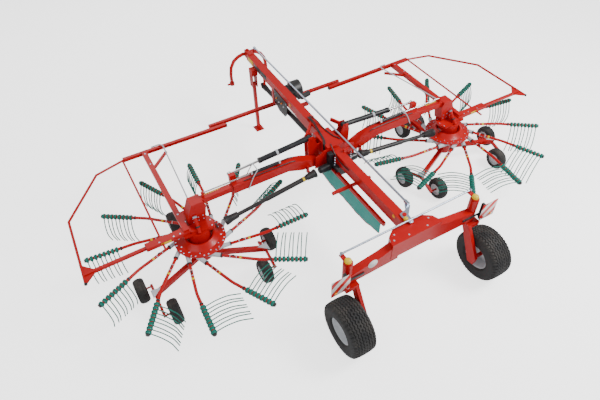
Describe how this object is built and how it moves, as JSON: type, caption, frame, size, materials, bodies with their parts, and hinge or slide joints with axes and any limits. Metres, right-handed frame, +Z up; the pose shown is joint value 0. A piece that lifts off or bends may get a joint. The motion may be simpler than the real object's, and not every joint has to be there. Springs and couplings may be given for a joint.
{
  "type": "twin rotor hay rake",
  "caption": "Towed hay rake with tined rotors on folding telescopic arms, tandem rotor carriages, guard frames, a swath curtain and a steered rear axle",
  "frame": {"origin": "on the ground, in the middle of the bounding box's base", "axes": "+Z up, -Y to the headstock and the tractor, +X to the machine's left"},
  "size_m": [8.4531, 6.143, 1.62],
  "materials": {
    "main_frame": "gloss red paint",
    "rear_axle": "gloss red paint",
    "gearbox": "bare grey casting",
    "pto_shaft": "black plastic",
    "centre_guard": "gloss red paint",
    "hose_panel": "black plastic",
    "storage_drum": "black plastic",
    "curtain_rail": "gloss red paint",
    "swath_curtain": "coated green cloth",
    "warning_board_left": "white plastic with red stripes",
    "warning_board_right": "white plastic with red stripes",
    "lamp_bracket_left": "black plastic",
    "lamp_bracket_right": "black plastic",
    "parking_stand": "gloss red paint",
    "headstock_yoke": "gloss red paint",
    "steering_rod": "zinc plated steel",
    "bell_crank": "zinc plated steel",
    "tie_rod": "zinc plated steel",
    "steering_knuckle_left": "gloss red paint",
    "rear_tyre_left": "worn black rubber",
    "rear_rim_left": "silver paint",
    "lift_arm_left": "gloss red paint",
    "cylinder_barrel_left": "satin black paint",
    "cylinder_rod_left": "bright piston rod",
    "carrier_arm_left": "gloss red paint",
    "rotor_gearbox_left": "gloss red paint",
    "guard_left": "gloss red paint",
    "undercarriage_left": "gloss red paint",
    "rotor_left": "gloss red paint",
    "drive_shaft_outer_left": "black plastic",
    "drive_shaft_inner_left": "black plastic",
    "rotor_wheel_outer_front_left": "black rubber on a pale steel rim",
    "rotor_wheel_outer_rear_left": "black rubber on a pale steel rim",
    "rotor_wheel_inner_front_left": "black rubber on a pale steel rim",
    "rotor_wheel_inner_rear_left": "black rubber on a pale steel rim",
    "rotor_wheel_lead_outer_left": "black rubber on a pale steel rim",
    "rotor_wheel_lead_inner_left": "black rubber on a pale steel rim",
    "steering_knuckle_right": "gloss red paint",
    "rear_tyre_right": "worn black rubber",
    "rear_rim_right": "silver paint",
    "lift_arm_right": "gloss red paint",
    "cylinder_barrel_right": "satin black paint",
    "cylinder_rod_right": "bright piston rod",
    "carrier_arm_right": "gloss red paint",
    "rotor_gearbox_right": "gloss red paint",
    "guard_right": "gloss red paint",
    "undercarriage_right": "gloss red paint",
    "rotor_right": "gloss red paint",
    "drive_shaft_outer_right": "black plastic",
    "drive_shaft_inner_right": "black plastic",
    "rotor_wheel_outer_front_right": "black rubber on a pale steel rim",
    "rotor_wheel_outer_rear_right": "black rubber on a pale steel rim",
    "rotor_wheel_inner_front_right": "black rubber on a pale steel rim",
    "rotor_wheel_inner_rear_right": "black rubber on a pale steel rim",
    "rotor_wheel_lead_outer_right": "black rubber on a pale steel rim",
    "rotor_wheel_lead_inner_right": "black rubber on a pale steel rim"
  },
  "bodies": {
    "chassis": {"main_frame": "main_frame", "rear_axle": "rear_axle", "gearbox": "gearbox", "pto_shaft": "pto_shaft", "centre_guard": "centre_guard", "hose_panel": "hose_panel", "storage_drum": "storage_drum", "curtain_rail": "curtain_rail", "swath_curtain": "swath_curtain", "warning_board_left": "warning_board_left", "warning_board_right": "warning_board_right", "lamp_bracket_left": "lamp_bracket_left", "lamp_bracket_right": "lamp_bracket_right"},
    "stand": {"parking_stand": "parking_stand"},
    "headstock": {"headstock_yoke": "headstock_yoke"},
    "steer_rod": {"steering_rod": "steering_rod"},
    "bell": {"bell_crank": "bell_crank"},
    "tie": {"tie_rod": "tie_rod"},
    "knuckle_left": {"steering_knuckle_left": "steering_knuckle_left"},
    "rear_wheel_left": {"rear_tyre_left": "rear_tyre_left", "rear_rim_left": "rear_rim_left"},
    "lift_left": {"lift_arm_left": "lift_arm_left"},
    "barrel_left": {"cylinder_barrel_left": "cylinder_barrel_left"},
    "piston_left": {"cylinder_rod_left": "cylinder_rod_left"},
    "carrier_left": {"carrier_arm_left": "carrier_arm_left", "rotor_gearbox_left": "rotor_gearbox_left", "guard_left": "guard_left", "undercarriage_left": "undercarriage_left"},
    "rake_left": {"rotor_left": "rotor_left"},
    "shaft_outer_left": {"drive_shaft_outer_left": "drive_shaft_outer_left"},
    "shaft_inner_left": {"drive_shaft_inner_left": "drive_shaft_inner_left"},
    "wheel_outer_front_left": {"rotor_wheel_outer_front_left": "rotor_wheel_outer_front_left"},
    "wheel_outer_rear_left": {"rotor_wheel_outer_rear_left": "rotor_wheel_outer_rear_left"},
    "wheel_inner_front_left": {"rotor_wheel_inner_front_left": "rotor_wheel_inner_front_left"},
    "wheel_inner_rear_left": {"rotor_wheel_inner_rear_left": "rotor_wheel_inner_rear_left"},
    "wheel_lead_outer_left": {"rotor_wheel_lead_outer_left": "rotor_wheel_lead_outer_left"},
    "wheel_lead_inner_left": {"rotor_wheel_lead_inner_left": "rotor_wheel_lead_inner_left"},
    "knuckle_right": {"steering_knuckle_right": "steering_knuckle_right"},
    "rear_wheel_right": {"rear_tyre_right": "rear_tyre_right", "rear_rim_right": "rear_rim_right"},
    "lift_right": {"lift_arm_right": "lift_arm_right"},
    "barrel_right": {"cylinder_barrel_right": "cylinder_barrel_right"},
    "piston_right": {"cylinder_rod_right": "cylinder_rod_right"},
    "carrier_right": {"carrier_arm_right": "carrier_arm_right", "rotor_gearbox_right": "rotor_gearbox_right", "guard_right": "guard_right", "undercarriage_right": "undercarriage_right"},
    "rake_right": {"rotor_right": "rotor_right"},
    "shaft_outer_right": {"drive_shaft_outer_right": "drive_shaft_outer_right"},
    "shaft_inner_right": {"drive_shaft_inner_right": "drive_shaft_inner_right"},
    "wheel_outer_front_right": {"rotor_wheel_outer_front_right": "rotor_wheel_outer_front_right"},
    "wheel_outer_rear_right": {"rotor_wheel_outer_rear_right": "rotor_wheel_outer_rear_right"},
    "wheel_inner_front_right": {"rotor_wheel_inner_front_right": "rotor_wheel_inner_front_right"},
    "wheel_inner_rear_right": {"rotor_wheel_inner_rear_right": "rotor_wheel_inner_rear_right"},
    "wheel_lead_outer_right": {"rotor_wheel_lead_outer_right": "rotor_wheel_lead_outer_right"},
    "wheel_lead_inner_right": {"rotor_wheel_lead_inner_right": "rotor_wheel_lead_inner_right"}
  },
  "joints": [
    {"name": "stand_fold", "type": "hinge", "parent": "chassis", "child": "stand", "pos_m": [0.13, -2.4985, 1.12], "axis": [1, 0, 0], "range_deg": [0, 75]},
    {"name": "headstock_swivel", "type": "hinge", "parent": "chassis", "child": "headstock", "pos_m": [0, -2.9865, 1.51], "axis": [0, 0, 1], "range_deg": [-25, 25]},
    {"name": "steering_rod_slide", "type": "slide", "parent": "chassis", "child": "steer_rod", "axis": [0, 1, 0], "range_m": [-0.1, 0.1]},
    {"name": "bell_crank_pivot", "type": "hinge", "parent": "chassis", "child": "bell", "pos_m": [-0.03, 2.0315, 1.418], "axis": [0, 0, 1], "range_deg": [-31, 31]},
    {"name": "tie_rod_slide", "type": "slide", "parent": "chassis", "child": "tie", "axis": [1, 0, 0], "range_m": [-0.075, 0.075]},
    {"name": "knuckle_steer_left", "type": "hinge", "parent": "chassis", "child": "knuckle_left", "pos_m": [1.105, 2.3025, 1.2], "axis": [0, 0, 1], "range_deg": [-31, 31]},
    {"name": "rear_wheel_spin_left", "type": "hinge", "parent": "knuckle_left", "child": "rear_wheel_left", "pos_m": [1.254, 2.6465, 0.425], "axis": [1, 0, 0], "continuous": true},
    {"name": "lift_hinge_left", "type": "hinge", "parent": "chassis", "child": "lift_left", "pos_m": [0.32, 0.184, 1.21], "axis": [0, -1, 0], "range_deg": [0, 75]},
    {"name": "cylinder_pivot_left", "type": "hinge", "parent": "chassis", "child": "barrel_left", "pos_m": [0.33, 0.0165, 1.57], "axis": [0, -1, 0], "range_deg": [-1, 90]},
    {"name": "cylinder_stroke_left", "type": "slide", "parent": "barrel_left", "child": "piston_left", "axis": [0.9978, 0, -0.0663], "range_m": [-0.36, 0.01]},
    {"name": "width_slide_left", "type": "slide", "parent": "lift_left", "child": "carrier_left", "axis": [1, 0, 0], "range_m": [-0.4, 0]},
    {"name": "shaft_pitch_left", "type": "hinge", "parent": "lift_left", "child": "shaft_outer_left", "pos_m": [0.3, 0.3765, 1.15], "axis": [0, -1, 0], "range_deg": [-3, 0.2]},
    {"name": "shaft_length_left", "type": "slide", "parent": "shaft_outer_left", "child": "shaft_inner_left", "axis": [0.9911, 0, -0.1332], "range_m": [-0.41, 0.01]},
    {"name": "rotor_spin_left", "type": "hinge", "parent": "carrier_left", "child": "rake_left", "pos_m": [2.5, 0.3315, 0.745], "axis": [0, 0, 1], "continuous": true},
    {"name": "outer_front_spin_left", "type": "hinge", "parent": "carrier_left", "child": "wheel_outer_front_left", "pos_m": [3.6, 0.4015, 0.2025], "axis": [1, 0, 0], "continuous": true},
    {"name": "outer_rear_spin_left", "type": "hinge", "parent": "carrier_left", "child": "wheel_outer_rear_left", "pos_m": [3.27, 1.0115, 0.2025], "axis": [1, 0, 0], "continuous": true},
    {"name": "inner_front_spin_left", "type": "hinge", "parent": "carrier_left", "child": "wheel_inner_front_left", "pos_m": [1.44, 0.5015, 0.2025], "axis": [1, 0, 0], "continuous": true},
    {"name": "inner_rear_spin_left", "type": "hinge", "parent": "carrier_left", "child": "wheel_inner_rear_left", "pos_m": [1.78, 1.0515, 0.2025], "axis": [1, 0, 0], "continuous": true},
    {"name": "lead_outer_spin_left", "type": "hinge", "parent": "carrier_left", "child": "wheel_lead_outer_left", "pos_m": [2.69, -0.6685, 0.2025], "axis": [1, 0, 0], "continuous": true},
    {"name": "lead_inner_spin_left", "type": "hinge", "parent": "carrier_left", "child": "wheel_lead_inner_left", "pos_m": [2.31, -0.6685, 0.2025], "axis": [1, 0, 0], "continuous": true},
    {"name": "knuckle_steer_right", "type": "hinge", "parent": "chassis", "child": "knuckle_right", "pos_m": [-1.105, 2.3025, 1.2], "axis": [0, 0, 1], "range_deg": [-31, 31]},
    {"name": "rear_wheel_spin_right", "type": "hinge", "parent": "knuckle_right", "child": "rear_wheel_right", "pos_m": [-1.254, 2.6465, 0.425], "axis": [1, 0, 0], "continuous": true},
    {"name": "lift_hinge_right", "type": "hinge", "parent": "chassis", "child": "lift_right", "pos_m": [-0.32, 0.184, 1.21], "axis": [0, 1, 0], "range_deg": [0, 75]},
    {"name": "cylinder_pivot_right", "type": "hinge", "parent": "chassis", "child": "barrel_right", "pos_m": [-0.33, 0.0165, 1.57], "axis": [0, 1, 0], "range_deg": [-1, 90]},
    {"name": "cylinder_stroke_right", "type": "slide", "parent": "barrel_right", "child": "piston_right", "axis": [-0.9978, 0, -0.0663], "range_m": [-0.36, 0.01]},
    {"name": "width_slide_right", "type": "slide", "parent": "lift_right", "child": "carrier_right", "axis": [-1, 0, 0], "range_m": [-0.4, 0]},
    {"name": "shaft_pitch_right", "type": "hinge", "parent": "lift_right", "child": "shaft_outer_right", "pos_m": [-0.3, 0.3765, 1.15], "axis": [0, 1, 0], "range_deg": [-3, 0.2]},
    {"name": "shaft_length_right", "type": "slide", "parent": "shaft_outer_right", "child": "shaft_inner_right", "axis": [-0.9911, 0, -0.1332], "range_m": [-0.41, 0.01]},
    {"name": "rotor_spin_right", "type": "hinge", "parent": "carrier_right", "child": "rake_right", "pos_m": [-2.5, 0.3315, 0.745], "axis": [0, 0, 1], "continuous": true},
    {"name": "outer_front_spin_right", "type": "hinge", "parent": "carrier_right", "child": "wheel_outer_front_right", "pos_m": [-3.6, 0.4015, 0.2025], "axis": [1, 0, 0], "continuous": true},
    {"name": "outer_rear_spin_right", "type": "hinge", "parent": "carrier_right", "child": "wheel_outer_rear_right", "pos_m": [-3.27, 1.0115, 0.2025], "axis": [1, 0, 0], "continuous": true},
    {"name": "inner_front_spin_right", "type": "hinge", "parent": "carrier_right", "child": "wheel_inner_front_right", "pos_m": [-1.44, 0.5015, 0.2025], "axis": [1, 0, 0], "continuous": true},
    {"name": "inner_rear_spin_right", "type": "hinge", "parent": "carrier_right", "child": "wheel_inner_rear_right", "pos_m": [-1.78, 1.0515, 0.2025], "axis": [1, 0, 0], "continuous": true},
    {"name": "lead_outer_spin_right", "type": "hinge", "parent": "carrier_right", "child": "wheel_lead_outer_right", "pos_m": [-2.69, -0.6685, 0.2025], "axis": [1, 0, 0], "continuous": true},
    {"name": "lead_inner_spin_right", "type": "hinge", "parent": "carrier_right", "child": "wheel_lead_inner_right", "pos_m": [-2.31, -0.6685, 0.2025], "axis": [1, 0, 0], "continuous": true}
  ],
  "couplings": [
    {"joint": "steering_rod_slide", "follows": "headstock_swivel", "m_per_rad": -0.1937},
    {"joint": "bell_crank_pivot", "follows": "headstock_swivel", "ratio": 1.2},
    {"joint": "tie_rod_slide", "follows": "headstock_swivel", "m_per_rad": -0.158},
    {"joint": "knuckle_steer_left", "follows": "headstock_swivel", "ratio": -1.2},
    {"joint": "cylinder_pivot_left", "follows": "lift_hinge_left", "ratio": 1.1768},
    {"joint": "cylinder_stroke_left", "follows": "lift_hinge_left", "m_per_rad": -0.2509},
    {"joint": "shaft_pitch_left", "follows": "width_slide_left", "rad_per_m": 0.09},
    {"joint": "shaft_length_left", "follows": "width_slide_left", "ratio": 0.9887},
    {"joint": "knuckle_steer_right", "follows": "headstock_swivel", "ratio": -1.2},
    {"joint": "cylinder_pivot_right", "follows": "lift_hinge_right", "ratio": 1.1768},
    {"joint": "cylinder_stroke_right", "follows": "lift_hinge_right", "m_per_rad": -0.2509},
    {"joint": "shaft_pitch_right", "follows": "width_slide_right", "rad_per_m": 0.09},
    {"joint": "shaft_length_right", "follows": "width_slide_right", "ratio": 0.9887}
  ]
}
